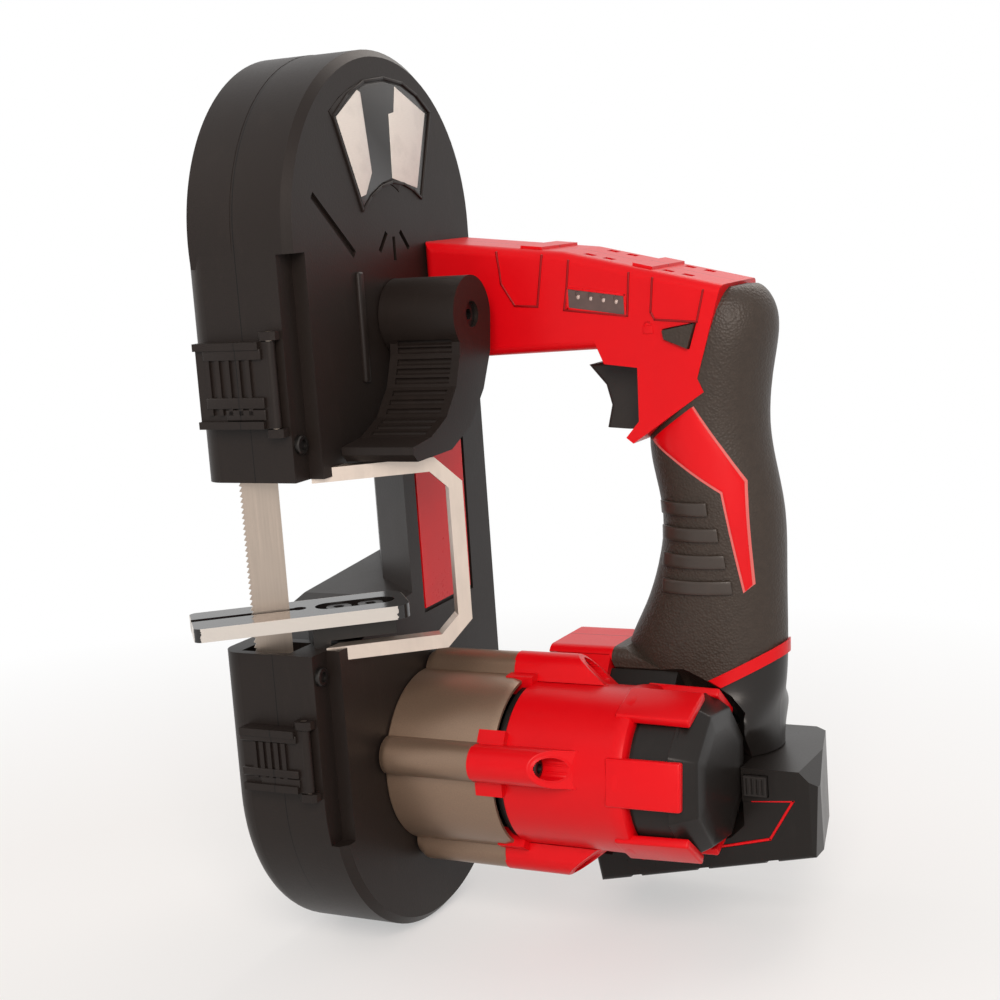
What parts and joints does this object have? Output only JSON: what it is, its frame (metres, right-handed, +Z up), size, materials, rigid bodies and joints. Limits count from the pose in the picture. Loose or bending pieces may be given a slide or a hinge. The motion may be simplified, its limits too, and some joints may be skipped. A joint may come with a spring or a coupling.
{
  "type": "portable band saw",
  "caption": "One-handed battery band saw: upright wheel loop with an open throat, twisted blade run, work shoe, tension lever, trigger grip with slide-out battery and planetary drive.",
  "frame": {"origin": "the blade's centre at the height of the work shoe's upper face", "axes": "+X from the wheel loop towards motor and grip, +Y from the cutting run towards the spine, +Z up along the cutting run"},
  "size_m": [0.1879, 0.1454, 0.302],
  "materials": {
    "shell_black": "fine texture",
    "shell_red": "satin",
    "panel_red": "satin",
    "grip_black": "stippled",
    "control_grey": "matt",
    "case_metal": "painted champagne grey",
    "bare_steel": "brushed",
    "dark_steel": "oiled black",
    "alloy": "satin",
    "shoe_black": "gloss black",
    "tyre_rubber": "matt",
    "brass_contact": "plain",
    "cell_wrap": "film",
    "battery_black": "satin",
    "gauge_dark": "smooth"
  },
  "bodies": {
    "frame": {"wheel_housing": "shell_black", "spine_panel": "panel_red", "cover_hinge_pins": "bare_steel", "latch_pins": "bare_steel", "guide_pins": "bare_steel", "guide_brackets": "dark_steel", "blade": "bare_steel", "shoe_screws": "dark_steel", "shoe_bracket": "dark_steel", "throat_bar": "alloy", "ring_gear": "dark_steel", "output_bearings": "bare_steel", "gearcase": "case_metal", "motor_housing": "shell_red", "motor_cap": "shell_black", "motor_can": "dark_steel", "motor_end_plate": "control_grey", "motor_bearings": "bare_steel", "handle_shell_near": "shell_red", "handle_shell_far": "shell_red", "grip_overmould": "grip_black", "grip_ring": "shell_red", "switch_module": "control_grey", "gauge_panel": "gauge_dark", "case_screws": "dark_steel"},
    "cover": {"rear_cover": "shell_black"},
    "upper_latch": {"upper_latch": "shell_black"},
    "lower_latch": {"lower_latch": "shell_black"},
    "roller_1": {"guide_roller_1": "bare_steel"},
    "roller_2": {"guide_roller_2": "bare_steel"},
    "roller_3": {"guide_roller_3": "bare_steel"},
    "roller_4": {"guide_roller_4": "bare_steel"},
    "carriage": {"tension_slide": "dark_steel", "tension_spring": "bare_steel", "idler_axle": "dark_steel"},
    "idler": {"idler_wheel": "alloy", "idler_tyre": "tyre_rubber", "idler_bearing": "bare_steel"},
    "lever": {"tension_shaft": "dark_steel", "tension_lever": "shell_black", "lever_screw": "dark_steel"},
    "drive": {"drive_wheel": "alloy", "drive_tyre": "tyre_rubber", "planet_carrier": "dark_steel", "wheel_nut": "dark_steel"},
    "planet_1": {"planet_gear_1": "dark_steel"},
    "planet_2": {"planet_gear_2": "dark_steel"},
    "planet_3": {"planet_gear_3": "dark_steel"},
    "rotor": {"motor_rotor": "dark_steel", "sun_gear": "dark_steel", "motor_fan": "control_grey"},
    "shoe": {"work_shoe": "shoe_black"},
    "trigger": {"trigger": "control_grey"},
    "lock": {"lock_button": "grip_black"},
    "battery": {"battery_case": "battery_black", "battery_cells": "cell_wrap", "battery_terminals": "brass_contact"},
    "key_near": {"battery_button_near": "control_grey"},
    "key_far": {"battery_button_far": "control_grey"}
  },
  "joints": [
    {"name": "drive_spin", "type": "hinge", "parent": "frame", "child": "drive", "pos_m": [0, 0.0515, -0.0615], "axis": [1, 0, 0], "continuous": true},
    {"name": "rotor_spin", "type": "hinge", "parent": "frame", "child": "rotor", "pos_m": [0.09, 0.0515, -0.0615], "axis": [1, 0, 0], "continuous": true},
    {"name": "planet_1_spin", "type": "hinge", "parent": "drive", "child": "planet_1", "pos_m": [0.0445, 0.065, -0.0615], "axis": [1, 0, 0], "continuous": true},
    {"name": "planet_2_spin", "type": "hinge", "parent": "drive", "child": "planet_2", "pos_m": [0.0445, 0.04475, -0.04981], "axis": [1, 0, 0], "continuous": true},
    {"name": "planet_3_spin", "type": "hinge", "parent": "drive", "child": "planet_3", "pos_m": [0.0445, 0.04475, -0.07319], "axis": [1, 0, 0], "continuous": true},
    {"name": "tension_slide", "type": "slide", "parent": "frame", "child": "carriage", "axis": [0, 0, -1], "range_m": [0, 0.0024]},
    {"name": "idler_spin", "type": "hinge", "parent": "carriage", "child": "idler", "pos_m": [0, 0.0515, 0.1205], "axis": [1, 0, 0], "continuous": true},
    {"name": "tension_lever", "type": "hinge", "parent": "frame", "child": "lever", "pos_m": [0.04, 0.0535, 0.0915], "axis": [-1, 0, 0], "range_deg": [0, 150]},
    {"name": "roller_1_spin", "type": "hinge", "parent": "frame", "child": "roller_1", "pos_m": [0.00481, -0.00029, 0.0515], "axis": [0.766, 0.6428, 0], "continuous": true},
    {"name": "roller_2_spin", "type": "hinge", "parent": "frame", "child": "roller_2", "pos_m": [0.00055, 0.00479, 0.0515], "axis": [0.766, 0.6428, 0], "continuous": true},
    {"name": "roller_3_spin", "type": "hinge", "parent": "frame", "child": "roller_3", "pos_m": [0.00481, -0.00029, -0.0191], "axis": [0.766, 0.6428, 0], "continuous": true},
    {"name": "roller_4_spin", "type": "hinge", "parent": "frame", "child": "roller_4", "pos_m": [0.00055, 0.00479, -0.0191], "axis": [0.766, 0.6428, 0], "continuous": true},
    {"name": "cover_hinge", "type": "hinge", "parent": "frame", "child": "cover", "pos_m": [0.005, 0.1152, 0.03], "axis": [0, 0, -1], "range_deg": [0, 105]},
    {"name": "upper_latch_pivot", "type": "hinge", "parent": "frame", "child": "upper_latch", "pos_m": [0.0165, -0.0106, 0.0763], "axis": [0, 0, 1], "range_deg": [0, 70]},
    {"name": "lower_latch_pivot", "type": "hinge", "parent": "frame", "child": "lower_latch", "pos_m": [0.0165, -0.0106, -0.0465], "axis": [0, 0, 1], "range_deg": [0, 70]},
    {"name": "shoe_slide", "type": "slide", "parent": "frame", "child": "shoe", "axis": [0.766, 0.6428, 0], "range_m": [-0.0026, 0.0026]},
    {"name": "trigger_pull", "type": "slide", "parent": "frame", "child": "trigger", "axis": [1, 0, 0], "range_m": [0, 0.006], "stiffness_N_per_m": 600},
    {"name": "lock_push", "type": "slide", "parent": "frame", "child": "lock", "axis": [0, 1, 0], "range_m": [-0.0025, 0.0025]},
    {"name": "battery_slide", "type": "slide", "parent": "frame", "child": "battery", "axis": [0, 0, -1], "range_m": [0, 0.08]},
    {"name": "battery_key_near_push", "type": "slide", "parent": "battery", "child": "key_near", "axis": [0, 1, 0], "range_m": [0, 0.0018], "stiffness_N_per_m": 800},
    {"name": "battery_key_far_push", "type": "slide", "parent": "battery", "child": "key_far", "axis": [0, -1, 0], "range_m": [0, 0.0018], "stiffness_N_per_m": 800}
  ],
  "couplings": [
    {"joint": "rotor_spin", "follows": "drive_spin", "ratio": 5},
    {"joint": "planet_1_spin", "follows": "drive_spin", "ratio": -2.6667},
    {"joint": "planet_2_spin", "follows": "drive_spin", "ratio": -2.6667},
    {"joint": "planet_3_spin", "follows": "drive_spin", "ratio": -2.6667},
    {"joint": "idler_spin", "follows": "drive_spin", "ratio": 1},
    {"joint": "tension_lever", "follows": "tension_slide", "rad_per_m": 1090.8},
    {"joint": "roller_1_spin", "follows": "drive_spin", "ratio": -17.167},
    {"joint": "roller_2_spin", "follows": "drive_spin", "ratio": 17.167},
    {"joint": "roller_3_spin", "follows": "drive_spin", "ratio": -17.167},
    {"joint": "roller_4_spin", "follows": "drive_spin", "ratio": 17.167}
  ]
}
